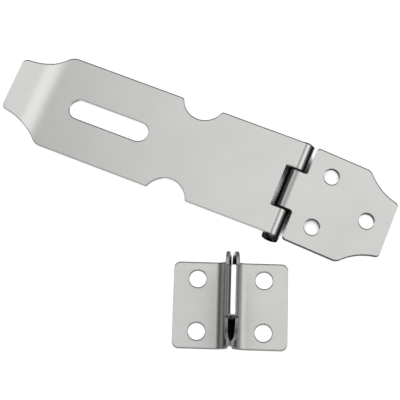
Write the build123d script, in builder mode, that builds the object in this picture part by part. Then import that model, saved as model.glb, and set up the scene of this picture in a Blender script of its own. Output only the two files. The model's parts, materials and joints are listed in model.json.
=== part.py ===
from build123d import *
from math import acos, asin, atan, atan2, cos, degrees, hypot, radians, sin, sqrt
import os

# Security hasp: a long strap with a padlock slot and a lifted finger tab, a screw leaf hinged to it
# by rolled knuckles on a peened pin, and a loose staple folded from one strip of sheet.
# Millimetres, +Z up. The origin is the middle of the staple's underside, on the surface that
# everything lies on. X runs along the staple's base.

# Sheet and hinge barrel
sheet = 1.25
hasp_width = 31.0
barrel_radius = 2.65
pin_clearance = 0.05
knuckle_gap = 0.4
roll_end_gap = 0.35
edge_break = 0.2

# Strap: its length from the pin's axis, with the tab's bend, its shoulders and the slot's middle
# measured back from the tab's end, and the notches from the pin's axis
strap_length = 92.6
tab_length = 9.6
tab_shoulder_setback = 13.8
slot_setback = 32.5
tab_angle = 15.0
tab_bend_radius = 3.0
tab_end_width = 17.6
tab_shoulder_fillet = 4.0
tab_corner_radius = 2.0
slot_length = 26.4
slot_width = 6.3
notch_distance = 34.5
notch_radius = 6.6
notch_depth = 4.9
notch_lip_radius = 1.0
strap_edge_distance = 3.45
strap_edge_fillet = 0.5

# Hinge leaf, measured from the pin's axis along the sheet
leaf_length = 32.7
leaf_end_width = 18.0
leaf_shoulder_distance = 21.2
leaf_shoulder_fillet = 3.0
leaf_corner_radius = 1.3
leaf_knuckle_length = 12.7
leaf_edge_distance = 3.25
leaf_neck_fillet = 1.0
leaf_root_radius = 1.0
leaf_hole_diameter = 4.8
leaf_hole_circle = 19.8
leaf_hole_count = 3
leaf_hole_distance = 15.4

# Concave sides of the tab and of the leaf's end
side_curve_radius = 18.0

# Peened heads of the hinge pin
pin_head_diameter = 4.4
pin_head_height = 0.9
pin_head_gap = 0.1

# Staple
staple_sheet = 1.0
staple_length = 34.5
staple_width = 26.4
staple_height = 25.5
staple_corner_radius = 2.0
staple_edge_break = 0.15
staple_hole_diameter = 5.2
staple_hole_spacing_x = 20.0
staple_hole_spacing_y = 16.0
wing_bend_radius = 3.5
pinch_gap = 0.3
pinch_height = 12.0
flare_radius = 6.0
ridge_width = 4.3
ridge_length = 14.7
ridge_notch_fillet = 0.5
wall_width = 25.4
wall_top_drop = 3.2
wall_shoulder_radius = 4.7
wall_root_height = 2.4
wall_root_fillet = 0.2
window_width = 12.0
window_height = 13.0
window_corner_radius = 4.5
window_bottom = 7.5

# How the pieces lie: the pin's middle, seen from the staple's, and the turn of the hasp
hasp_turn = 20.5
pin_x = 17.0
pin_y = 36.1

# Sizes that follow
half_width = hasp_width / 2
bore_radius = barrel_radius - sheet
pin_radius = bore_radius - pin_clearance
under_face = barrel_radius - sheet
bend_distance = strap_length - tab_length
tab_shoulder_distance = strap_length - tab_shoulder_setback
slot_distance = strap_length - slot_setback
knuckle_gap_length = leaf_knuckle_length + 2 * knuckle_gap
bend_outer_radius = tab_bend_radius + sheet
bend_setback = tab_bend_radius * sin(radians(tab_angle))
tab_straight = (strap_length - bend_distance - bend_setback) / cos(radians(tab_angle))
tab_reach = strap_length + sheet * sin(radians(tab_angle))
notch_half_chord = sqrt(notch_radius**2 - (notch_radius - notch_depth) ** 2)
wall_top = staple_height - wall_top_drop
through = 4 * barrel_radius

# The roll turns until its outer corner is roll_end_gap short of the sheet's underside
roll_sweep = 270 + degrees(asin((under_face - roll_end_gap) / barrel_radius))

# Slopes at rest: the barrel, the strap's bend and the leaf's far edge touch the surface
bend_centre_height = under_face + bend_outer_radius
strap_slope = degrees(
    acos((bend_outer_radius - barrel_radius) / hypot(bend_distance, bend_centre_height))
    - atan2(bend_distance, bend_centre_height)
)
leaf_slope = degrees(
    asin(barrel_radius / hypot(leaf_length, under_face)) + atan(under_face / leaf_length)
)


def sheet_plane(slope):
    """Plane through the pin's axis: X from strap to leaf, rising by slope, and Z out of the face."""
    turn, rise = radians(hasp_turn), radians(slope)
    return Plane(
        origin=(pin_x, pin_y, barrel_radius),
        x_dir=(cos(turn) * cos(rise), -sin(turn) * cos(rise), sin(rise)),
        z_dir=(-cos(turn) * sin(rise), sin(turn) * sin(rise), cos(rise)),
    )


def outline_edges(face, plane, bend_lines):
    """Edges of a flat face, without the lines at these places along the plane's X, where it bends."""
    places = [(edge, plane.to_local_coords(edge.center()).X) for edge in face.edges()]
    return [edge for edge, x in places if all(abs(x - line) > edge_break for line in bend_lines)]


hasp_plane = sheet_plane(0)
strap_plane = sheet_plane(strap_slope)
leaf_plane = sheet_plane(-leaf_slope)

# Section planes: X along the piece, Y out of its face
strap_section_plane = Plane(strap_plane.origin, strap_plane.x_dir, -strap_plane.y_dir)
leaf_section_plane = Plane(leaf_plane.origin, leaf_plane.x_dir, -leaf_plane.y_dir)
pin_section_plane = Plane(hasp_plane.origin, hasp_plane.y_dir, hasp_plane.x_dir)

# Hasp strap: one sheet, rolled under at the hinge and bent up at the finger tab
with BuildPart() as hasp_strap:
    with BuildSketch(strap_section_plane):
        with BuildLine():
            face = Line((0, barrel_radius), (-bend_distance, barrel_radius))
            face_bend = JernArc(face @ 1, face % 1, tab_bend_radius, -tab_angle)
            face_tab = Line(face_bend @ 1, face_bend @ 1 + tab_straight * (face_bend % 1))
            under = Line((0, under_face), (-bend_distance, under_face))
            under_bend = JernArc(under @ 1, under % 1, bend_outer_radius, -tab_angle)
            under_tab = Line(under_bend @ 1, under_bend @ 1 + tab_straight * (under_bend % 1))
            Line(face_tab @ 1, under_tab @ 1)
            roll = CenterArc((0, 0), barrel_radius, 90, -roll_sweep)
            bore = CenterArc((0, 0), bore_radius, 90, -roll_sweep)
            Line(roll @ 1, bore @ 1)
        make_face()
    extrude(amount=half_width, both=True)

    # Blank outline: waist notches, sides swept in to the tab, padlock slot, gap for the leaf's knuckle
    with BuildSketch(strap_plane) as strap_outline:
        with Locations((through, 0)):
            Rectangle(2 * through + 2 * tab_reach, hasp_width)
        with Locations((-notch_distance, half_width - notch_depth + notch_radius)):
            Circle(notch_radius, mode=Mode.SUBTRACT)
        with BuildLine():
            side_curve = RadiusArc(
                (-tab_shoulder_distance, half_width), (-tab_reach, tab_end_width / 2), side_curve_radius
            )
            Polyline(
                side_curve @ 1,
                (-tab_reach - through, tab_end_width / 2),
                (-tab_reach - through, half_width),
                side_curve @ 0,
            )
        make_face(mode=Mode.SUBTRACT)
        split(bisect_by=Plane.XZ, keep=Keep.BOTTOM)
        for corner, radius in (
            ((-tab_shoulder_distance, half_width), tab_shoulder_fillet),
            ((-notch_distance - notch_half_chord, half_width), notch_lip_radius),
            ((-notch_distance + notch_half_chord, half_width), notch_lip_radius),
        ):
            fillet(strap_outline.vertices().sort_by_distance(corner)[0], radius)
        mirror(about=Plane.XZ)
        with Locations((-slot_distance, 0)):
            SlotOverall(slot_length, slot_width, mode=Mode.SUBTRACT)
        with Locations((through - strap_edge_distance, 0)):
            RectangleRounded(2 * through, knuckle_gap_length, strap_edge_fillet, mode=Mode.SUBTRACT)
    extrude(amount=through, both=True, mode=Mode.INTERSECT)
    tab_end_face = hasp_strap.faces().sort_by(Axis(strap_plane.origin, strap_plane.x_dir))[0]
    fillet(tab_end_face.edges().sort_by(SortBy.LENGTH)[:2], tab_corner_radius)

    # The punch breaks the edges of the smooth face
    smooth_face = hasp_strap.faces().sort_by(SortBy.AREA)[-1]
    chamfer(outline_edges(smooth_face, strap_plane, (-bend_distance, 0)), edge_break)

# Hinge leaf: one sheet with its middle rolled under, three screw holes and a narrowed end
with BuildPart() as hinge_leaf:
    with BuildSketch(leaf_section_plane):
        with BuildLine():
            face = Line((0, barrel_radius), (leaf_length, barrel_radius))
            under = Line((0, under_face), (leaf_length, under_face))
            Line(face @ 1, under @ 1)
            roll = CenterArc((0, 0), barrel_radius, 90, roll_sweep)
            bore = CenterArc((0, 0), bore_radius, 90, roll_sweep)
            Line(roll @ 1, bore @ 1)
        make_face()
    extrude(amount=half_width, both=True)

    # Blank outline: knuckle strip, narrowed end and screw holes
    with BuildSketch(leaf_plane) as leaf_outline:
        with BuildLine():
            side_curve = RadiusArc(
                (leaf_shoulder_distance, half_width), (leaf_length, leaf_end_width / 2), -side_curve_radius
            )
            Polyline(
                side_curve @ 1,
                (leaf_length, 0),
                (-through, 0),
                (-through, leaf_knuckle_length / 2),
                (leaf_edge_distance, leaf_knuckle_length / 2),
                (leaf_edge_distance, half_width),
                side_curve @ 0,
            )
        make_face()
        for corner, radius in (
            ((leaf_edge_distance, leaf_knuckle_length / 2), leaf_neck_fillet),
            ((leaf_edge_distance, half_width), leaf_root_radius),
            ((leaf_shoulder_distance, half_width), leaf_shoulder_fillet),
            ((leaf_length, leaf_end_width / 2), leaf_corner_radius),
        ):
            fillet(leaf_outline.vertices().sort_by_distance(corner)[0], radius)
        mirror(about=Plane.XZ)
        with Locations((leaf_hole_distance, 0)):
            with PolarLocations(leaf_hole_circle / 2, leaf_hole_count):
                Circle(leaf_hole_diameter / 2, mode=Mode.SUBTRACT)
    extrude(amount=through, both=True, mode=Mode.INTERSECT)

    # The punch breaks the edges of the smooth face
    smooth_face = hinge_leaf.faces().sort_by(SortBy.AREA)[-1]
    chamfer(outline_edges(smooth_face, leaf_plane, (0,)), edge_break)

# Hinge pin: a rod with a domed head peened at each end
with BuildPart() as hinge_pin:
    with BuildSketch(pin_section_plane):
        with BuildLine():
            head_start = half_width + pin_head_gap
            head_radius = pin_head_diameter / 2
            Polyline((0, 0), (0, pin_radius), (head_start, pin_radius), (head_start, head_radius))
            dome = EllipticalCenterArc((head_start, 0), pin_head_height, head_radius, 0, arc_size=90)
            Line(dome @ 0, (0, 0))
        make_face()
        mirror(about=Plane.YZ)
    revolve(axis=Axis(pin_section_plane.origin, pin_section_plane.x_dir))

# Staple: one strip folded into a hairpin loop between two screw wings. The loop's walls stand pinched
# together up to pinch_height, then flare apart to the round ridge.
ridge_outer_radius = ridge_width / 2
ridge_inner_radius = ridge_outer_radius - staple_sheet
wing_bend_outer_radius = wing_bend_radius + staple_sheet
wing_bend_x = pinch_gap / 2 + wing_bend_outer_radius
pinched_straight = pinch_height - wing_bend_outer_radius
flare_outer_radius = flare_radius + staple_sheet
flare_x = pinch_gap / 2 + flare_outer_radius
ridge_rise = staple_height - ridge_outer_radius - pinch_height
centre_distance = hypot(flare_x, ridge_rise)
radius_sum = ridge_inner_radius + flare_outer_radius
flare_angle = degrees(asin(radius_sum / centre_distance) - atan2(flare_x, ridge_rise))
flared_straight = sqrt(centre_distance**2 - radius_sum**2)
ridge_turn = 90 + flare_angle

with BuildPart() as staple:
    with BuildSketch(Plane.XZ):
        with BuildLine():
            under = Line((staple_length / 2, 0), (wing_bend_x, 0))
            under_bend = JernArc(under @ 1, under % 1, wing_bend_outer_radius, -90)
            under_pinch = Line(under_bend @ 1, under_bend @ 1 + pinched_straight * (under_bend % 1))
            under_flare = JernArc(under_pinch @ 1, under_pinch % 1, flare_outer_radius, -flare_angle)
            under_wall = Line(under_flare @ 1, under_flare @ 1 + flared_straight * (under_flare % 1))
            under_ridge = JernArc(under_wall @ 1, under_wall % 1, ridge_inner_radius, ridge_turn)
            upper = Line((staple_length / 2, staple_sheet), (wing_bend_x, staple_sheet))
            upper_bend = JernArc(upper @ 1, upper % 1, wing_bend_radius, -90)
            upper_pinch = Line(upper_bend @ 1, upper_bend @ 1 + pinched_straight * (upper_bend % 1))
            upper_flare = JernArc(upper_pinch @ 1, upper_pinch % 1, flare_radius, -flare_angle)
            upper_wall = Line(upper_flare @ 1, upper_flare @ 1 + flared_straight * (upper_flare % 1))
            upper_ridge = JernArc(upper_wall @ 1, upper_wall % 1, ridge_outer_radius, ridge_turn)
            Line(under @ 0, upper @ 0)
            Line(under_ridge @ 1, upper_ridge @ 1)
        make_face()
        mirror(about=Plane.YZ)
    extrude(amount=staple_width / 2, both=True)

    # Side outline: walls inset from the base, shoulders rounded, ridge narrowed to a bridge
    with BuildSketch(Plane.YZ) as staple_side:
        Rectangle(staple_width / 2, wall_root_height, align=Align.MIN)
        Rectangle(wall_width / 2, wall_top, align=Align.MIN)
        Rectangle(ridge_length / 2, staple_height, align=Align.MIN)
        for corner, radius in (
            ((staple_width / 2, wall_root_height), wall_root_fillet),
            ((wall_width / 2, wall_root_height), wall_root_fillet),
            ((wall_width / 2, wall_top), wall_shoulder_radius),
            ((ridge_length / 2, wall_top), ridge_notch_fillet),
        ):
            fillet(staple_side.vertices().sort_by_distance(corner)[0], radius)
        mirror(about=Plane.YZ)
    extrude(amount=staple_length, both=True, mode=Mode.INTERSECT)

    # Shackle window through both walls
    with BuildSketch(Plane.YZ):
        with Locations((0, window_bottom + window_height / 2)):
            RectangleRounded(window_width, window_height, window_corner_radius)
    extrude(amount=staple_length, both=True, mode=Mode.SUBTRACT)

    # Wings: rounded corners and screw holes
    with BuildSketch(Plane.XY):
        with GridLocations(staple_hole_spacing_x, staple_hole_spacing_y, 2, 2):
            Circle(staple_hole_diameter / 2)
    extrude(amount=wall_root_height, mode=Mode.SUBTRACT)
    wing_ends = staple.faces().filter_by(Axis.X).sort_by(Axis.X)
    fillet((wing_ends[0].edges() + wing_ends[-1].edges()).filter_by(Axis.Z), staple_corner_radius)

    # The punch breaks the edges of the upper face and of the screw holes
    wing_edges = staple.faces().filter_by(Axis.Z).group_by(Axis.Z)[1].edges()
    bend_lines = wing_edges.filter_by(Axis.Y).filter_by_position(Axis.X, -staple_length / 4, staple_length / 4)
    chamfer(wing_edges - bend_lines, staple_edge_break)

# Label each piece and write it
os.makedirs("parts", exist_ok=True)
for name, piece in (
    ("hasp_strap", hasp_strap),
    ("hinge_leaf", hinge_leaf),
    ("hinge_pin", hinge_pin),
    ("staple", staple),
):
    piece.part.label = name
    export_step(piece.part, f"parts/{name}.step")
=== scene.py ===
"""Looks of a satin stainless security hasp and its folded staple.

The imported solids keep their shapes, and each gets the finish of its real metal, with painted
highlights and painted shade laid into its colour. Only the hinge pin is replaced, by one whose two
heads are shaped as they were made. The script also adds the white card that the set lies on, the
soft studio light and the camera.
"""

import json
import logging
import math
from dataclasses import dataclass
from enum import Enum

import bmesh
import bpy
from mathutils import Matrix, Vector

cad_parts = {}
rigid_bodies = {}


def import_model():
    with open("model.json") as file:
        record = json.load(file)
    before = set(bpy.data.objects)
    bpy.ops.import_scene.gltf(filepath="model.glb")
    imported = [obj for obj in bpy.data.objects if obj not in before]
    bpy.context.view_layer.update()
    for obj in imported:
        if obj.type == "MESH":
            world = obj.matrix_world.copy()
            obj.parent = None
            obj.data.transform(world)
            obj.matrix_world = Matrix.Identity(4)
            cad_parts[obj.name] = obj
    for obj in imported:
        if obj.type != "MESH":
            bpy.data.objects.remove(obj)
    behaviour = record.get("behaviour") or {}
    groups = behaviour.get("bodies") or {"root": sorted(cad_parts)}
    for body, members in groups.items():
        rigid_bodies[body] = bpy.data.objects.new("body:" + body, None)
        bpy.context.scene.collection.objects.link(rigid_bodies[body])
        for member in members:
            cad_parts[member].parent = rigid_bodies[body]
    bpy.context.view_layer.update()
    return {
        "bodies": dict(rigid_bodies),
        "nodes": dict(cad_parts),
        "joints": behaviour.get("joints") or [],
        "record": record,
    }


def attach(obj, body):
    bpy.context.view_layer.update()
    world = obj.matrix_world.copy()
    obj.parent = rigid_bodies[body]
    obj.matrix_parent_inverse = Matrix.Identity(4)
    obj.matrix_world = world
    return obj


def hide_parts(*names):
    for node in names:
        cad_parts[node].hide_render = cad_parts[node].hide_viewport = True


log = logging.getLogger("security_hasp")

MM = 0.001
UP = Vector((0, 0, 1))

# Sockets of the Mix node, which go by number because several share a name
MIX_FACTOR = 0
NUMBER_A, NUMBER_B = 2, 3
COLOUR_A, COLOUR_B = 6, 7
MIXED_COLOUR = 2

# Rays by which the Bevel node finds the edges near a point
BEVEL_SAMPLES = 8

# Cosine from which a face counts as facing along an axis
FACES_ALONG = 0.9


class Forming(Enum):
    """How a place in a piece of sheet was formed, and so what shape its mark has."""

    ROLLED = "rolled round the hinge pin"
    BENT = "bent across the strip"
    # A crease gets a thin dark line of painted shade where the roll starts.
    CREASED = "creased by the edge of the tool, where a roll starts"


@dataclass(frozen=True)
class FormedPlace:
    """A place that a forming tool rolled, bent or creased, which gets painted highlight or painted
    shade.

    Attributes:
        forming: how the place was formed.
        middle: its middle along the strip, in millimetres.
        reach: how far it reaches from its middle, in millimetres.
        fade: over how many millimetres its mark ends.
    """

    forming: Forming
    middle: float
    reach: float
    fade: float = 0.15


@dataclass(frozen=True)
class Fade:
    """Two values between which a mask goes from zero to one.

    Attributes:
        none: the value at which the mask is zero.
        full: the value at which it is one, which may be the smaller of the two.
    """

    none: float
    full: float

    def moved(self, start: float) -> "Fade":
        """Return the same fade, counted from a start."""
        return Fade(start + self.none, start + self.full)

    def ends(self) -> dict[str, float]:
        """Return the two values by the names of a Map Range node's sockets."""
        return {"From Min": self.none, "From Max": self.full}


def linear(hex_colour: str) -> tuple[float, float, float, float]:
    """Turn an sRGB hex colour into the linear colour that a shader takes.

    Args:
        hex_colour: six hex digits after a hash sign.

    Returns:
        Red, green, blue and an alpha of one.
    """
    channels = [int(hex_colour[place : place + 2], 16) / 255 for place in (1, 3, 5)]
    red, green, blue = (
        c / 12.92 if c <= 0.04045 else ((c + 0.055) / 1.055) ** 2.4 for c in channels
    )
    return (red, green, blue, 1.0)


def add_node(
    tree: bpy.types.NodeTree, kind: str, settings: dict | None = None, inputs: dict | None = None
) -> bpy.types.Node:
    """Add one node with its settings, its socket values and its links.

    Args:
        tree: the node tree that takes the node.
        kind: the node's Blender type name.
        settings: attribute names and their values.
        inputs: socket names or numbers, each with a value or with the output socket that feeds it.

    Returns:
        The new node.
    """
    new = tree.nodes.new(kind)
    for name, value in (settings or {}).items():
        setattr(new, name, value)
    for socket, value in (inputs or {}).items():
        if isinstance(value, bpy.types.NodeSocket):
            tree.links.new(value, new.inputs[socket])
        else:
            new.inputs[socket].default_value = value
    return new


def new_material(name: str) -> tuple[bpy.types.Material, bpy.types.NodeTree]:
    """Make an empty node material.

    Args:
        name: the material's name.

    Returns:
        The material and its cleared node tree.
    """
    material = bpy.data.materials.new(name)
    material.use_nodes = True
    material.node_tree.nodes.clear()
    return material, material.node_tree


@dataclass(frozen=True)
class SheetAxes:
    """Directions of one piece of sheet, in the row frame.

    Attributes:
        origin: a point on the line that the sheet is bent about, in metres.
        along: the direction in which the strip was rolled.
        bend_axis: the direction of the line that the sheet is bent about.
        face: the outward normal of the sheet's smooth face.
    """

    origin: Vector
    along: Vector
    bend_axis: Vector
    face: Vector

    def turn(self) -> tuple[float, float, float]:
        """Return the turn from the row frame to these axes, as Euler angles."""
        return tuple(Matrix((self.along, self.bend_axis, self.face)).transposed().to_euler("XYZ"))


@dataclass(frozen=True)
class SoftBend:
    """A bend whose metal already curves a little on both sides of it.

    Attributes:
        middle: the bend's place along the strip, in millimetres.
        before: how far the curve reaches towards the start of the strip, in millimetres.
        after: how far it reaches the other way, in millimetres.
        lift: how far the curve lifts the metal in the middle, in millimetres.
        rounding: share of the reach over which the middle itself is rounded.
    """

    middle: float
    before: float
    after: float
    lift: float
    rounding: float = 0.25


@dataclass(frozen=True)
class SheetTree:
    """The nodes of one sheet's finish, and the masks that tell its surfaces apart.

    Attributes:
        tree: the material's nodes.
        axes: the sheet's own directions.
        place: the place in those directions, in millimetres.
        normal: the surface's normal.
    """

    tree: bpy.types.NodeTree
    axes: SheetAxes
    place: bpy.types.NodeSocket
    normal: bpy.types.NodeSocket

    @classmethod
    def start(cls, tree: bpy.types.NodeTree, axes: SheetAxes) -> "SheetTree":
        """Add the nodes that everything else of the finish starts from.

        Args:
            tree: the material's nodes.
            axes: the sheet's own directions.

        Returns:
            The sheet's nodes.
        """
        where = add_node(tree, "ShaderNodeTexCoord")
        place = add_node(
            tree,
            "ShaderNodeMapping",
            {"vector_type": "TEXTURE"},
            {
                "Vector": where.outputs["Object"],
                "Location": axes.origin,
                "Rotation": axes.turn(),
                "Scale": (MM,) * 3,
            },
        )
        return cls(tree, axes, place.outputs[0], where.outputs["Normal"])

    def formed(
        self, places: tuple[FormedPlace, ...], kinds: tuple[Forming, ...]
    ) -> bpy.types.NodeSocket | float:
        """Mark the places that were formed in certain ways.

        Args:
            places: the places that a tool formed.
            kinds: the ways of forming that are marked.

        Returns:
            A socket that is one in such a place and zero on the flat sheet, or a plain zero where
            the sheet has no such place.
        """
        formed = 0.0
        for spot in (spot for spot in places if spot.forming in kinds):
            keep = (1.0, 0.0, 1.0) if spot.forming is Forming.ROLLED else (1.0, 0.0, 0.0)
            across = add_node(
                self.tree,
                "ShaderNodeVectorMath",
                {"operation": "MULTIPLY_ADD"},
                {0: self.place, 1: keep, 2: (-spot.middle, 0.0, 0.0)},
            )
            distance = add_node(
                self.tree, "ShaderNodeVectorMath", {"operation": "LENGTH"}, {0: across.outputs[0]}
            )
            mask = add_node(
                self.tree,
                "ShaderNodeMapRange",
                {"interpolation_type": "SMOOTHSTEP"},
                {
                    "Value": distance.outputs["Value"],
                    **Fade(spot.fade, 0.0).moved(spot.reach).ends(),
                },
            )
            formed = add_node(
                self.tree,
                "ShaderNodeMath",
                {"operation": "MAXIMUM"},
                {0: formed, 1: mask.outputs[0]},
            ).outputs[0]
        return formed

    def facing(
        self,
        normal: bpy.types.NodeSocket,
        axis: Vector,
        fade: Fade,
        either_way: bool = False,
        least: float = 0.0,
    ) -> bpy.types.NodeSocket:
        """Mark the surface by how far it is turned along an axis.

        Args:
            normal: the surface's normal.
            axis: the axis.
            fade: the shares of the normal along the axis at which the mask starts and is full.
            either_way: whether a surface that faces the other way counts too.
            least: what the mask gives where it would be zero.

        Returns:
            The mask's socket.
        """
        share = add_node(
            self.tree, "ShaderNodeVectorMath", {"operation": "DOT_PRODUCT"}, {0: normal, 1: axis}
        ).outputs["Value"]
        if either_way:
            share = add_node(
                self.tree, "ShaderNodeMath", {"operation": "ABSOLUTE"}, {0: share}
            ).outputs[0]
        return add_node(
            self.tree, "ShaderNodeMapRange", {}, {"Value": share, **fade.ends(), "To Min": least}
        ).outputs[0]

    def soften(self, bend: SoftBend, before: bpy.types.Node) -> bpy.types.Node:
        """Let the light run softly over a bend.

        Args:
            bend: the bend.
            before: the bump node to add to.

        Returns:
            The new bump node.
        """
        along = add_node(self.tree, "ShaderNodeSeparateXYZ", {}, {0: self.place})
        rise, fall = (
            add_node(
                self.tree,
                "ShaderNodeMapRange",
                {},
                {"Value": along.outputs["X"], **Fade(reach, 0.0).moved(bend.middle).ends()},
            )
            for reach in (-bend.before, bend.after)
        )
        tent = add_node(
            self.tree,
            "ShaderNodeMath",
            {"operation": "SMOOTH_MIN"},
            {0: rise.outputs[0], 1: fall.outputs[0], 2: bend.rounding},
        ).outputs[0]
        curve = add_node(self.tree, "ShaderNodeMath", {"operation": "MULTIPLY"}, {0: tent, 1: tent})
        return add_node(
            self.tree,
            "ShaderNodeBump",
            {},
            {
                "Height": curve.outputs[0],
                "Strength": 1.0,
                "Distance": bend.lift * MM,
                "Normal": before.outputs[0],
            },
        )


@dataclass(frozen=True)
class SatinStainless:
    """Cold-rolled stainless steel sheet, satin finished, then blanked and bent.

    Attributes:
        name: the material's name.
        face_colour: colour of the satin faces.
        cloud_colour: colour of the slightly duller patches in them.
        formed_light_and_shade_colour: painted highlight where a tool rolled or bent the metal, made
            dark as painted shade on the leaf.
        crease_shade_colour: painted shade in the crease where a roll starts.
        flank_and_wall_shade_colour: painted shade on a roll's upper flank and ends, or on a wall.
        cut_light_and_shade_colour: colour of the sheared edges and of a wall's punched edges: a pale
            painted reflection by default, painted shade on the leaf and the staple.
        rim_shade_colour: painted shade on the rolled-over rim beside them.
        face_roughness: roughness of the satin faces.
        roughness_spread: how much the brush lines change it either way.
        formed_roughness: roughness where the tool burnished the metal.
        edge_roughness: roughness of the sheared edges and their rims.
        cloud_size: size of the duller patches, in millimetres.
        cloud_detail: how many times the patches are broken up.
        cloud_breakup: how strongly they are broken up.
        brush_spacing: distance between brush lines, in millimetres. Real ones are some 0.05 mm
            apart; they are drawn coarser, so that they show.
        brush_length: length of a brush line, in millimetres.
        brush_detail: how many times the brush lines are broken up.
        brush_depth: depth of a brush line, in millimetres.
        brush_strength: how strongly that depth turns the light.
        rim_width: width of the rolled-over rim, in millimetres.
        other_side_shade_share: how strong the rim's painted shade is on the side facing against the
            bend axis, as a share of the other side's.
        cut_turn: how far a cut edge is turned across the strip.
        rim_turn: how far the rounded normal of a rim is turned across the strip.
        side_change: where the rim's painted shade goes from its weaker side to its full side.
        punched_turn: how far a punched edge in a wall is turned upwards or downwards.
        flank_lean: how far a roll's flank leans away from the face before it gets painted shade.
        flank_up: how far it still faces the way that the face does.
        wall_lean: how far a wall's surface leans away from the face before it gets painted shade.
        wall_foot: where the painted shade on a wall starts, from its foot, in millimetres.
        wall_head: where it ends, from its head, in millimetres.
    """

    name: str
    face_colour: str = "#C6C6C4"
    cloud_colour: str = "#BCBBB9"
    formed_light_and_shade_colour: str = "#CACAC8"
    crease_shade_colour: str = "#8A8A88"
    flank_and_wall_shade_colour: str = "#222222"
    cut_light_and_shade_colour: str = "#E6E6E4"
    rim_shade_colour: str = "#3C3C3B"
    face_roughness: float = 0.36
    roughness_spread: float = 0.05
    formed_roughness: float = 0.27
    edge_roughness: float = 0.5
    cloud_size: float = 14.0
    cloud_detail: float = 3.0
    cloud_breakup: float = 0.55
    brush_spacing: float = 0.22
    brush_length: float = 9.0
    brush_detail: float = 2.0
    brush_depth: float = 0.02
    brush_strength: float = 0.04
    rim_width: float = 0.7
    other_side_shade_share: float = 0.5
    cut_turn: Fade = Fade(0.85, 0.95)
    rim_turn: Fade = Fade(0.06, 0.3)
    side_change: Fade = Fade(-0.05, 0.05)
    punched_turn: Fade = Fade(0.5, 0.7)
    flank_lean: Fade = Fade(0.93, 0.72)
    flank_up: Fade = Fade(0.15, 0.4)
    wall_lean: Fade = Fade(0.92, 0.78)
    wall_foot: Fade = Fade(-3.1, -2.3)
    wall_head: Fade = Fade(2.7, 2.3)

    def make(
        self,
        axes: SheetAxes,
        places: tuple[FormedPlace, ...],
        standing: tuple[float, float] | None = None,
        bends: tuple[SoftBend, ...] = (),
    ) -> bpy.types.Material:
        """Make the finish for one piece of sheet.

        Args:
            axes: the piece's own directions.
            places: the places that a tool formed.
            standing: the two heights between which the sheet stands upright, in millimetres.
            bends: the soft bends.

        Returns:
            The finished material.
        """
        # To the eye: an even grey that reflects softly, because the rolls and the finishing belt
        # leave it dull.
        # Where a tool rubbed, it mirrors more sharply, and its colour carries a painted highlight
        # (painted shade on the leaf). The sheared edges and the narrow rims beside them are duller,
        # and the rims are darker with painted shade. Painted shade also lies in the crease where a
        # roll starts, on a roll's upper flank and ends, and on a standing wall.
        material, tree = new_material(self.name)
        sheet = SheetTree.start(tree, axes)
        # The rolled and bent places are smoother, and their colour is a painted highlight, or
        # painted shade on the leaf.
        formed = sheet.formed(places, (Forming.ROLLED, Forming.BENT))
        # The rims get painted shade, weaker on one side of the strip.
        rim = self.rim_shade_mask(sheet)
        # The cut edges' colour is a painted reflection where it is pale and painted shade where it
        # is dark.
        cut = self.cut_mask(sheet, standing)
        # Painted shade: a roll's upper flank and ends get it, and on the staple a standing wall
        # does.
        if standing is None:
            painted_shade = self.flank_shade_mask(sheet, places)
        else:
            painted_shade = self.wall_shade_mask(sheet, standing)
        brush = self.brush_lines(sheet)
        colour = self.colours(
            sheet,
            (
                (formed, self.formed_light_and_shade_colour),
                (sheet.formed(places, (Forming.CREASED,)), self.crease_shade_colour),
                (rim, self.rim_shade_colour),
                (cut, self.cut_light_and_shade_colour),
                (painted_shade, self.flank_and_wall_shade_colour),
            ),
        )
        bump = add_node(
            tree,
            "ShaderNodeBump",
            {},
            {"Height": brush, "Strength": self.brush_strength, "Distance": self.brush_depth * MM},
        )
        for bend in bends:
            bump = sheet.soften(bend, bump)
        metal = add_node(
            tree,
            "ShaderNodeBsdfPrincipled",
            {},
            {
                "Base Color": colour,
                "Metallic": 1.0,
                "Roughness": self.roughnesses(sheet, brush, formed, (rim, cut)),
                "Normal": bump.outputs[0],
            },
        )
        add_node(tree, "ShaderNodeOutputMaterial", {}, {"Surface": metal.outputs[0]})
        return material

    def brush_lines(self, sheet: SheetTree) -> bpy.types.NodeSocket:
        """Draw the brush lines, which run along the strip.

        Args:
            sheet: the sheet's nodes.

        Returns:
            A socket from zero to one, from line to line.
        """
        line = (1 / self.brush_length, 1 / self.brush_spacing, 1 / self.brush_spacing)
        stretched = add_node(
            sheet.tree, "ShaderNodeVectorMath", {"operation": "MULTIPLY"}, {0: sheet.place, 1: line}
        )
        return add_node(
            sheet.tree,
            "ShaderNodeTexNoise",
            {},
            {"Vector": stretched.outputs[0], "Scale": 1.0, "Detail": self.brush_detail},
        ).outputs["Fac"]

    def colours(
        self, sheet: SheetTree, layers: tuple[tuple[bpy.types.NodeSocket | float, str], ...]
    ) -> bpy.types.NodeSocket:
        """Lay the painted highlights and painted shade of the formed, creased, cut, rimmed and
        shaded places over the clouded face.

        Args:
            sheet: the sheet's nodes.
            layers: each place's mask and colour, from the lowest layer up.

        Returns:
            The colour's socket.
        """
        clouds = add_node(
            sheet.tree,
            "ShaderNodeTexNoise",
            {},
            {
                "Vector": sheet.place,
                "Scale": 1 / self.cloud_size,
                "Detail": self.cloud_detail,
                "Roughness": self.cloud_breakup,
            },
        )
        colour = linear(self.face_colour)
        for mask, over in ((clouds.outputs["Fac"], self.cloud_colour), *layers):
            colour = add_node(
                sheet.tree,
                "ShaderNodeMix",
                {"data_type": "RGBA"},
                {MIX_FACTOR: mask, COLOUR_A: colour, COLOUR_B: linear(over)},
            ).outputs[MIXED_COLOUR]
        return colour

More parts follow.
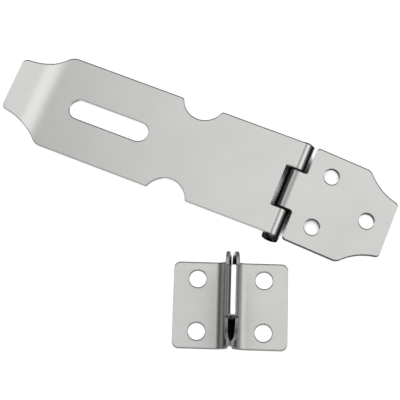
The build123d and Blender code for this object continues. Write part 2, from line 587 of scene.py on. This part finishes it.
    def roughnesses(
        self,
        sheet: SheetTree,
        brush: bpy.types.NodeSocket,
        formed: bpy.types.NodeSocket | float,
        edges: tuple[bpy.types.NodeSocket, bpy.types.NodeSocket],
    ) -> bpy.types.NodeSocket:
        """Set how dull each place is.

        Args:
            sheet: the sheet's nodes.
            brush: the brush lines.
            formed: the mask of the burnished places.
            edges: the masks of the rims and of the cut edges.

        Returns:
            The roughness's socket.
        """
        brushed = add_node(
            sheet.tree,
            "ShaderNodeMapRange",
            {},
            {
                "Value": brush,
                "To Min": self.face_roughness - self.roughness_spread,
                "To Max": self.face_roughness + self.roughness_spread,
            },
        )
        edge = add_node(
            sheet.tree, "ShaderNodeMath", {"operation": "MAXIMUM"}, {0: edges[0], 1: edges[1]}
        )
        roughness = brushed.outputs[0]
        for mask, over in (
            (formed, self.formed_roughness),
            (edge.outputs[0], self.edge_roughness),
        ):
            roughness = add_node(
                sheet.tree,
                "ShaderNodeMix",
                {"data_type": "FLOAT"},
                {MIX_FACTOR: mask, NUMBER_A: roughness, NUMBER_B: over},
            ).outputs[0]
        return roughness

    def rim_shade_mask(self, sheet: SheetTree) -> bpy.types.NodeSocket:
        """Mark the rims beside the cut edges for painted shade, weaker on one side of the strip.

        Args:
            sheet: the sheet's nodes.

        Returns:
            The mask's socket.
        """
        rounded = add_node(
            sheet.tree,
            "ShaderNodeBevel",
            {"samples": BEVEL_SAMPLES},
            {"Radius": self.rim_width * MM},
        ).outputs[0]
        across = sheet.axes.bend_axis
        both_rims = sheet.facing(rounded, across, self.rim_turn, either_way=True)
        side = sheet.facing(rounded, across, self.side_change, least=self.other_side_shade_share)
        return add_node(
            sheet.tree, "ShaderNodeMath", {"operation": "MULTIPLY"}, {0: both_rims, 1: side}
        ).outputs[0]

    def cut_mask(
        self, sheet: SheetTree, standing: tuple[float, float] | None
    ) -> bpy.types.NodeSocket:
        """Mark the sheared edges, and the punched ones of a standing wall that face up or down.

        Args:
            sheet: the sheet's nodes.
            standing: the two heights between which the sheet stands upright, in millimetres.

        Returns:
            The mask's socket.
        """
        sides = sheet.facing(sheet.normal, sheet.axes.bend_axis, self.cut_turn, either_way=True)
        if standing is None:
            return sides
        heights = add_node(sheet.tree, "ShaderNodeSeparateXYZ", {}, {0: sheet.place})
        above, below = (
            add_node(
                sheet.tree,
                "ShaderNodeMath",
                {"operation": operation},
                {0: heights.outputs["Z"], 1: height},
            )
            for operation, height in zip(("GREATER_THAN", "LESS_THAN"), standing)
        )
        in_wall = add_node(
            sheet.tree,
            "ShaderNodeMath",
            {"operation": "MULTIPLY"},
            {0: above.outputs[0], 1: below.outputs[0]},
        )
        up_or_down = sheet.facing(sheet.normal, sheet.axes.face, self.punched_turn, either_way=True)
        punched = add_node(
            sheet.tree,
            "ShaderNodeMath",
            {"operation": "MULTIPLY"},
            {0: in_wall.outputs[0], 1: up_or_down},
        )
        return add_node(
            sheet.tree,
            "ShaderNodeMath",
            {"operation": "MAXIMUM"},
            {0: sides, 1: punched.outputs[0]},
        ).outputs[0]

    def flank_shade_mask(
        self, sheet: SheetTree, places: tuple[FormedPlace, ...]
    ) -> bpy.types.NodeSocket:
        """Mark a roll's upper flank and ends, which get painted shade.

        Args:
            sheet: the sheet's nodes.
            places: the places that a tool formed.

        Returns:
            The mask's socket.
        """
        leaning = sheet.facing(sheet.normal, sheet.axes.face, self.flank_lean)
        still_up = sheet.facing(sheet.normal, sheet.axes.face, self.flank_up)
        upper_flank = add_node(
            sheet.tree, "ShaderNodeMath", {"operation": "MULTIPLY"}, {0: leaning, 1: still_up}
        )
        ends = sheet.facing(sheet.normal, sheet.axes.bend_axis, self.cut_turn, either_way=True)
        either = add_node(
            sheet.tree,
            "ShaderNodeMath",
            {"operation": "MAXIMUM"},
            {0: upper_flank.outputs[0], 1: ends},
        )
        rolled = sheet.formed(places, (Forming.ROLLED,))
        return add_node(
            sheet.tree,
            "ShaderNodeMath",
            {"operation": "MULTIPLY"},
            {0: rolled, 1: either.outputs[0]},
        ).outputs[0]

    def wall_shade_mask(
        self, sheet: SheetTree, standing: tuple[float, float]
    ) -> bpy.types.NodeSocket:
        """Mark a standing wall's upright surface, which gets painted shade.

        Args:
            sheet: the sheet's nodes.
            standing: the two heights between which the sheet stands upright, in millimetres.

        Returns:
            The mask's socket.
        """
        heights = add_node(sheet.tree, "ShaderNodeSeparateXYZ", {}, {0: sheet.place})
        foot, head = (
            add_node(
                sheet.tree,
                "ShaderNodeMapRange",
                {},
                {"Value": heights.outputs["Z"], **fade.moved(height).ends()},
            )
            for fade, height in zip((self.wall_foot, self.wall_head), standing)
        )
        wall = add_node(
            sheet.tree,
            "ShaderNodeMath",
            {"operation": "MULTIPLY"},
            {0: foot.outputs[0], 1: head.outputs[0]},
        )
        upright = sheet.facing(sheet.normal, sheet.axes.face, self.wall_lean)
        return add_node(
            sheet.tree,
            "ShaderNodeMath",
            {"operation": "MULTIPLY"},
            {0: wall.outputs[0], 1: upright},
        ).outputs[0]


@dataclass(frozen=True)
class DrawnStainlessWire:
    """Cold-drawn stainless wire with upset ends.

    Attributes:
        name: the material's name.
        colour: colour of the drawn metal, darkened as painted shade.
        dark_colour: colour of the hammer marks on it.
        worn_highlight_colour: colour of the sharp edges, where wear polished them, lightened further
            as a painted highlight.
        edge_tint: tint of the light that glances off.
        smoothest: roughness of the drawn metal.
        roughest: roughness of the hammer marks.
        mark_size: size of a hammer mark, in millimetres.
        mark_detail: how many times the marks are broken up.
        mark_depth: depth of a mark, in millimetres.
        mark_strength: how strongly that depth turns the light.
        wear_width: width of the worn edges, in millimetres.
        wear: how far the rounded normal still agrees with the real one where wear starts.
    """

    name: str = "drawn_stainless_wire"
    # Painted shade: the drawn metal is made nearly black.
    colour: str = "#424241"
    dark_colour: str = "#2A2A2A"
    worn_highlight_colour: str = "#D8D8D6"
    edge_tint: str = "#5A5A5A"
    smoothest: float = 0.16
    roughest: float = 0.3
    mark_size: float = 0.9
    mark_detail: float = 2.0
    mark_depth: float = 0.08
    mark_strength: float = 0.15
    wear_width: float = 0.12
    wear: Fade = Fade(0.97, 0.9)

    def make(self) -> bpy.types.Material:
        """Make the finish of the pin.

        Returns:
            The finished material.
        """
        # To the eye: dark with painted shade and fairly sharp, with a thin bright line where an edge
        # is worn, which is partly wear and partly a painted highlight.
        material, tree = new_material(self.name)
        where = add_node(tree, "ShaderNodeTexCoord")
        place = add_node(
            tree,
            "ShaderNodeMapping",
            {"vector_type": "TEXTURE"},
            {"Vector": where.outputs["Object"], "Scale": (MM,) * 3},
        )
        marks = add_node(
            tree,
            "ShaderNodeTexNoise",
            {},
            {
                "Vector": place.outputs[0],
                "Scale": 1 / self.mark_size,
                "Detail": self.mark_detail,
            },
        ).outputs["Fac"]
        rounded = add_node(
            tree, "ShaderNodeBevel", {"samples": BEVEL_SAMPLES}, {"Radius": self.wear_width * MM}
        )
        sharp = add_node(
            tree,
            "ShaderNodeVectorMath",
            {"operation": "DOT_PRODUCT"},
            {0: rounded.outputs[0], 1: where.outputs["Normal"]},
        )
        wear = add_node(
            tree, "ShaderNodeMapRange", {}, {"Value": sharp.outputs["Value"], **self.wear.ends()}
        )
        colour = linear(self.colour)
        for mask, over in ((marks, self.dark_colour), (wear.outputs[0], self.worn_highlight_colour)):
            colour = add_node(
                tree,
                "ShaderNodeMix",
                {"data_type": "RGBA"},
                {MIX_FACTOR: mask, COLOUR_A: colour, COLOUR_B: linear(over)},
            ).outputs[MIXED_COLOUR]
        roughness = add_node(
            tree,
            "ShaderNodeMapRange",
            {},
            {"Value": marks, "To Min": self.smoothest, "To Max": self.roughest},
        )
        bump = add_node(
            tree,
            "ShaderNodeBump",
            {},
            {"Height": marks, "Strength": self.mark_strength, "Distance": self.mark_depth * MM},
        )
        metal = add_node(
            tree,
            "ShaderNodeBsdfPrincipled",
            {},
            {
                "Base Color": colour,
                "Metallic": 1.0,
                "Roughness": roughness.outputs[0],
                "Normal": bump.outputs[0],
                "Specular Tint": linear(self.edge_tint),
            },
        )
        add_node(tree, "ShaderNodeOutputMaterial", {}, {"Surface": metal.outputs[0]})
        return material


@dataclass(frozen=True)
class WhiteCard:
    """Matt white card, evenly lit.

    Attributes:
        name: the material's name.
        colour: colour of the card under the lamp alone.
        glow: how bright it is of itself, to the camera and in the metal.
        shade_reach: how near metal must be to shade it, in millimetres.
        shade_samples: rays by which the card finds the metal above it.
        openness: how open the card lies where it starts to be white, and where it is.
    """

    name: str = "white_card"
    colour: str = "#7A7A7A"
    glow: float = 0.97
    shade_reach: float = 8.0
    shade_samples: int = 48
    openness: Fade = Fade(0.23, 0.29)

    def make(self) -> bpy.types.Material:
        """Make the card's surface.

        Returns:
            The finished material.
        """
        # To the eye: plain white up to the metal's edge, and dark only under the metal, where a
        # painted shadow cuts the card's glow.
        material, tree = new_material(self.name)
        rays = add_node(tree, "ShaderNodeLightPath")
        seen = rays.outputs["Is Camera Ray"]
        for ray in ("Is Glossy Ray", "Is Transmission Ray"):
            seen = add_node(
                tree, "ShaderNodeMath", {"operation": "MAXIMUM"}, {0: seen, 1: rays.outputs[ray]}
            ).outputs[0]
        open_sky = add_node(
            tree,
            "ShaderNodeAmbientOcclusion",
            {"samples": self.shade_samples},
            {"Distance": self.shade_reach * MM},
        )
        uncovered = add_node(
            tree,
            "ShaderNodeMapRange",
            {"interpolation_type": "SMOOTHSTEP"},
            {"Value": open_sky.outputs["AO"], **self.openness.ends()},
        )
        glow = add_node(
            tree,
            "ShaderNodeMath",
            {"operation": "MULTIPLY"},
            {0: seen, 1: uncovered.outputs[0]},
        )
        strength = add_node(
            tree, "ShaderNodeMath", {"operation": "MULTIPLY"}, {0: glow.outputs[0], 1: self.glow}
        )
        lit = add_node(tree, "ShaderNodeEmission", {}, {"Strength": strength.outputs[0]})
        card = add_node(tree, "ShaderNodeBsdfDiffuse", {}, {"Color": linear(self.colour)})
        both = add_node(tree, "ShaderNodeAddShader", {}, {0: lit.outputs[0], 1: card.outputs[0]})
        add_node(tree, "ShaderNodeOutputMaterial", {}, {"Surface": both.outputs[0]})
        return material


def select_flat(axis: Vector, least: float) -> None:
    """Select the faces of the mesh in edit mode that face along an axis, and lie far along it.

    Args:
        axis: the direction that they face.
        least: how far along the axis they lie at least, in metres.
    """
    mesh = bmesh.from_edit_mesh(bpy.context.object.data)
    for face in mesh.faces:
        faces_along = face.normal.dot(axis) > FACES_ALONG
        face.select_set(faces_along and face.calc_center_median().dot(axis) > least)
    bmesh.update_edit_mesh(bpy.context.object.data)


@dataclass(frozen=True)
class PinHead:
    """One head of the pin, in millimetres.

    Attributes:
        radius: radius of the head.
        side: height of its straight side.
        crown: the steps inwards and outwards that round it off and mark its end, from its side to
            its middle.
    """

    radius: float
    side: float
    crown: tuple[tuple[float, float], ...]


@dataclass
class PeenedPin:
    """The hinge pin: a wire shaft with a ringed button head and a flatter peened end.

    Attributes:
        radius: radius of the shaft, in millimetres.
        head_start: where a head starts, from the pin's middle, in millimetres.
        button: the made head, ringed by the heading tool.
        peened: the end that was hammered over once the pin was in.
        sides: number of faces round the pin.
        sharp_angle: angle from which an edge is left sharp, in degrees.
        end_share: share of the way to a head's start from which a face belongs to that end.
        finish: the pin's finish.
    """

    frame: dict
    radius: float = 1.35
    head_start: float = 15.56
    button: PinHead = PinHead(
        radius=2.55,
        side=0.75,
        crown=(
            (0.08, 0.16),
            (0.14, 0.13),
            (0.2, 0.08),
            (0.28, 0.02),
            (0.12, -0.13),
            (0.16, 0.0),
            (0.12, 0.13),
            (0.5, 0.05),
        ),
    )
    peened: PinHead = PinHead(
        radius=2.1,
        side=0.12,
        crown=((0.1, 0.14), (0.22, 0.12), (0.4, 0.1), (0.5, 0.04), (0.15, -0.05)),
    )
    sides: int = 48
    sharp_angle: float = 24.0
    end_share: float = 0.9
    finish: DrawnStainlessWire = DrawnStainlessWire()

    def build(self) -> bpy.types.Object:
        """Turn the wire, upset both heads and lay the pin in the hinge.

        Returns:
            The finished pin.
        """
        bpy.ops.object.select_all(action="DESELECT")
        bpy.ops.mesh.primitive_cylinder_add(
            vertices=self.sides, radius=self.radius * MM, depth=2 * self.head_start * MM
        )
        pin = bpy.context.object
        pin.name = "peened_hinge_pin"
        bpy.ops.object.mode_set(mode="EDIT")
        self.upset_head(self.peened, UP)
        self.upset_head(self.button, -UP)
        bpy.ops.object.mode_set(mode="OBJECT")
        bpy.ops.object.shade_smooth_by_angle(angle=math.radians(self.sharp_angle))
        hinge = self.frame["joints"][0]
        pin.rotation_euler = Vector(hinge["axis"]).to_track_quat("Z", "X").to_euler()
        pin.location = hinge["pos_m"]
        bpy.ops.object.transform_apply(location=True, rotation=True, scale=True)
        pin.data.materials.append(self.finish.make())
        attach(pin, "base")
        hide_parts("hinge_pin")
        log.info("built %s in %s", pin.name, self.finish.name)
        return pin

    def upset_head(self, head: PinHead, outward: Vector) -> None:
        """Spread one end of the wire in edit mode, and shape its head.

        Args:
            head: the head.
            outward: the direction that the end faces.
        """
        end = outward * self.head_start * MM
        spread = head.radius / self.radius
        select_flat(outward, self.end_share * self.head_start * MM)
        bpy.ops.mesh.extrude_region_move()
        bpy.ops.transform.resize(value=(spread, spread, 1), center_override=end)
        bpy.ops.mesh.extrude_region_move(
            TRANSFORM_OT_translate={"value": outward * head.side * MM}
        )
        for inwards, outwards in head.crown:
            bpy.ops.mesh.inset(thickness=inwards * MM, depth=outwards * MM)


@dataclass
class Hasp:
    """The hinged half of the set: strap, leaf and pin.

    Attributes:
        strap_slope: rise of the strap towards the pin, in degrees.
        knuckles: the rolled knuckles round the pin.
        crease: the crease where they start, which gets painted shade.
        tab_bend: the bend that lifts the finger tab, which is smoother and gets a painted highlight.
        tab_curve: how that bend curves.
        strap_finish: the strap's finish.
        leaf_finish: the leaf's finish, with painted shade on its knuckles and cut edges.
    """

    frame: dict
    strap_slope: float = 2.79
    knuckles: FormedPlace = FormedPlace(Forming.ROLLED, 0.0, 2.65)
    crease: FormedPlace = FormedPlace(Forming.CREASED, 0.0, 0.05, 0.6)
    tab_bend: FormedPlace = FormedPlace(Forming.BENT, -83.4, 0.5, 3.0)
    tab_curve: SoftBend = SoftBend(-83.4, 3.0, 4.5, 0.236)
    strap_finish: SatinStainless = SatinStainless("satin_stainless_strap")
    # Painted shade: the leaf's knuckles and cut edges are darkened.
    leaf_finish: SatinStainless = SatinStainless(
        "satin_stainless_leaf", formed_light_and_shade_colour="#A0A09E", cut_light_and_shade_colour="#4A4A49", other_side_shade_share=1.0
    )

    def strap_axes(self) -> SheetAxes:
        """Work out the strap's own directions, from the hinge and the strap's slope.

        Returns:
            The directions.
        """
        hinge = self.frame["joints"][0]
        bend_axis = Vector(hinge["axis"]).normalized()
        level = bend_axis.cross(UP)
        rise = math.radians(self.strap_slope)
        along = level * math.cos(rise) + UP * math.sin(rise)
        return SheetAxes(Vector(hinge["pos_m"]), along, bend_axis, along.cross(bend_axis))

    def leaf_axes(self) -> SheetAxes:
        """Work out the leaf's own directions, from the hinge and the leaf's screw holes.

        Returns:
            The directions.
        """
        hinge = self.frame["joints"][0]
        mounts = {mount["name"]: mount for mount in self.frame["record"]["mounts"]}
        bend_axis = Vector(hinge["axis"]).normalized()
        face = Vector(mounts["leaf_screws"]["axis"]).normalized()
        return SheetAxes(Vector(hinge["pos_m"]), bend_axis.cross(face), bend_axis, face)

    def dress(self) -> None:
        """Give the strap and the leaf their finishes, and put the pin in."""
        strap = self.strap_finish.make(
            self.strap_axes(), (self.knuckles, self.crease, self.tab_bend), bends=(self.tab_curve,)
        )
        leaf = self.leaf_finish.make(self.leaf_axes(), (self.knuckles, self.crease))
        give(self.frame, "hasp_strap", strap)
        give(self.frame, "hinge_leaf", leaf)
        PeenedPin(self.frame).build()


@dataclass
class FoldedStaple:
    """The staple: two screw wings and a standing loop, folded from one strip.

    Attributes:
        ridge: the top of the loop, which is smoother and gets a bright painted highlight.
        walls: the two heights between which the loop's walls stand, in millimetres.
        finish: the staple's finish, with a bright painted highlight on its ridge, a paler painted
            shade on its walls, and painted shade on its cut edges.
    """

    frame: dict
    ridge: FormedPlace = FormedPlace(Forming.BENT, 0.0, 1.1, 0.5)
    walls: tuple[float, float] = (4.6, 22.6)
    # Painted light: a bright painted highlight on the ridge, paler painted shade on the walls, and
    # painted shade on the cut edges.
    finish: SatinStainless = SatinStainless(
        "satin_stainless_staple",
        face_colour="#C3C3C1",
        cloud_colour="#BAB9B7",
        formed_light_and_shade_colour="#ECECEA",
        flank_and_wall_shade_colour="#6C6C6B",
        cut_light_and_shade_colour="#A4A4A2",
        formed_roughness=0.18,
    )

    def axes(self) -> SheetAxes:
        """Return the staple's own directions, which are the row's."""
        return SheetAxes(Vector((0, 0, 0)), Vector((1, 0, 0)), Vector((0, 1, 0)), UP)

    def dress(self) -> None:
        """Give the staple its finish."""
        give(self.frame, "staple", self.finish.make(self.axes(), (self.ridge,), self.walls))


def give(frame: dict, node: str, material: bpy.types.Material) -> None:
    """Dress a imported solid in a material, in every slot that it has.

    Args:
        node: the solid's name.
        material: the finish.
    """
    piece = frame["nodes"][node]
    if not piece.material_slots:
        piece.data.materials.append(material)
    for slot in piece.material_slots:
        slot.material = material
    log.info("dressed %s in %s", node, material.name)


@dataclass
class Studio:
    """The white card, the overhead soft box, the dim room and the camera.

    Lengths are in metres and angles in degrees, but the lens and the sensor are in millimetres.

    Attributes:
        card_radius: radius of the card.
        card_sides: number of straight edges round the card.
        box_size: length and width of the soft box.
        box_place: where it hangs.
        box_watts: its power.
        ceiling_colour: colour of the dim ceiling.
        wall_colour: colour of the pale walls and of the pale screen behind the camera.
        wall_top: heights of a direction of length one between which the walls fade out.
        screen_side: its Y coordinates between which the screen fades out.
        room_strength: brightness of the room.
        camera_place: where the photograph was taken from.
        camera_turn: the camera's turn about X, Y and Z.
        camera_lens: focal length of its lens.
        sensor_width: width of its sensor.
        sight: the nearest and the furthest that it sees.
        card: the card's finish.
    """

    card_radius: float = 6.0
    card_sides: int = 96
    box_size: tuple[float, float] = (1.9, 2.2)
    box_place: tuple[float, float, float] = (0.5, 0.93, 1.2)
    box_watts: float = 17.5
    ceiling_colour: str = "#404041"
    wall_colour: str = "#C4C4C3"
    wall_top: Fade = Fade(0.3, 0.58)
    screen_side: Fade = Fade(-0.58, -0.32)
    room_strength: float = 1.0
    camera_place: tuple[float, float, float] = (-0.00719, -0.07401, 0.37908)
    camera_turn: tuple[float, float, float] = (15.766, -0.043, 1.725)
    camera_lens: float = 115.12
    sensor_width: float = 36.0
    sight: tuple[float, float] = (0.01, 50.0)
    card: WhiteCard = WhiteCard()

    def lay_card(self) -> None:
        """Lay the white card under the set, as the floor."""
        bpy.ops.object.select_all(action="DESELECT")
        bpy.ops.mesh.primitive_circle_add(
            vertices=self.card_sides, radius=self.card_radius, fill_type="NGON"
        )
        card = bpy.context.object
        card.name = "white_card"
        card.data.materials.append(self.card.make())
        log.info("laid %s", card.name)

    def hang_soft_box(self) -> None:
        """Hang the soft box over the set, facing down."""
        bpy.ops.object.light_add(type="AREA", location=self.box_place)
        box = bpy.context.object
        box.name = "overhead_soft_box"
        box.data.shape = "RECTANGLE"
        box.data.size, box.data.size_y = self.box_size
        box.data.energy = self.box_watts
        log.info("hung %s", box.name)

    def dim_room(self) -> None:
        """Set the room: pale walls, a pale screen behind the camera and a dim ceiling."""
        world = bpy.data.worlds.new("dim_room")
        world.use_nodes = True
        tree = world.node_tree
        background = tree.nodes["Background"]
        where = add_node(tree, "ShaderNodeTexCoord")
        direction = add_node(tree, "ShaderNodeSeparateXYZ", {}, {0: where.outputs["Generated"]})
        above_walls, beside_screen = (
            add_node(
                tree,
                "ShaderNodeMapRange",
                {"interpolation_type": "SMOOTHSTEP"},
                {"Value": direction.outputs[axis], **fade.ends()},
            )
            for axis, fade in (("Z", self.wall_top), ("Y", self.screen_side))
        )
        ceiling = add_node(
            tree,
            "ShaderNodeMath",
            {"operation": "MULTIPLY"},
            {0: above_walls.outputs[0], 1: beside_screen.outputs[0]},
        )
        colour = add_node(
            tree,
            "ShaderNodeMix",
            {"data_type": "RGBA"},
            {
                MIX_FACTOR: ceiling.outputs[0],
                COLOUR_A: linear(self.wall_colour),
                COLOUR_B: linear(self.ceiling_colour),
            },
        )
        tree.links.new(colour.outputs[MIXED_COLOUR], background.inputs["Color"])
        background.inputs["Strength"].default_value = self.room_strength
        bpy.context.scene.world = world
        log.info("set %s", world.name)

    def place_camera(self) -> None:
        """Place the camera where the photograph was taken from."""
        turn = [math.radians(angle) for angle in self.camera_turn]
        bpy.ops.object.camera_add(location=self.camera_place, rotation=turn)
        camera = bpy.context.object
        camera.name = "photo_camera"
        camera.data.sensor_width = self.sensor_width
        camera.data.lens = self.camera_lens
        camera.data.clip_start, camera.data.clip_end = self.sight
        bpy.context.scene.camera = camera
        log.info("placed %s", camera.name)

    def set_up(self) -> None:
        """Lay, hang and place everything, and set the plain view transform."""
        self.lay_card()
        self.hang_soft_box()
        self.dim_room()
        self.place_camera()
        bpy.context.scene.view_settings.view_transform = "Standard"


def main() -> None:
    """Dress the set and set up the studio."""
    logging.basicConfig(level=logging.INFO, format="%(name)s: %(message)s")
    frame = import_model()
    Hasp(frame).dress()
    FoldedStaple(frame).dress()
    Studio().set_up()


if __name__ == "__main__":
    main()
